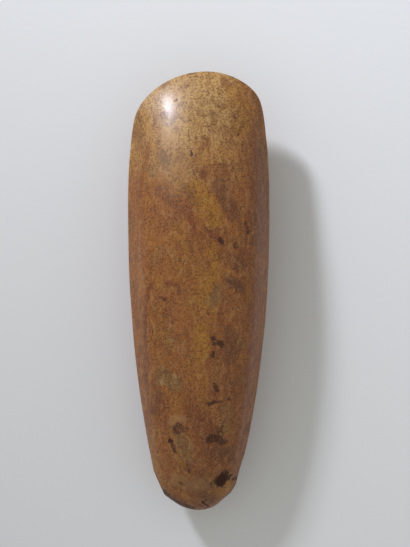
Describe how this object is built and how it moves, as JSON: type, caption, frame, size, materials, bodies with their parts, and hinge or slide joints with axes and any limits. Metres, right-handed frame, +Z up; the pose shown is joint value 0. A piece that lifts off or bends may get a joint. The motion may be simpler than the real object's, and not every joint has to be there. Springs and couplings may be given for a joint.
{
  "type": "polished stone axe head",
  "caption": "Long oval stone axe head with a rounded, skewed cutting edge, ground side facets and a blunt, flaked butt.",
  "frame": {"origin": "on the surface the head lies on, under the middle of its length and width", "axes": "+Y along the length towards the cutting edge, +Z up through the upper broad face, +X across the width to the right side"},
  "size_m": [0.0642, 0.1998, 0.0435],
  "materials": {
    "stone": "ground and polished, honey brown with reddish and dark stains, rougher at the butt"
  },
  "bodies": {
    "root": {"axe_head": "stone"}
  },
  "joints": []
}
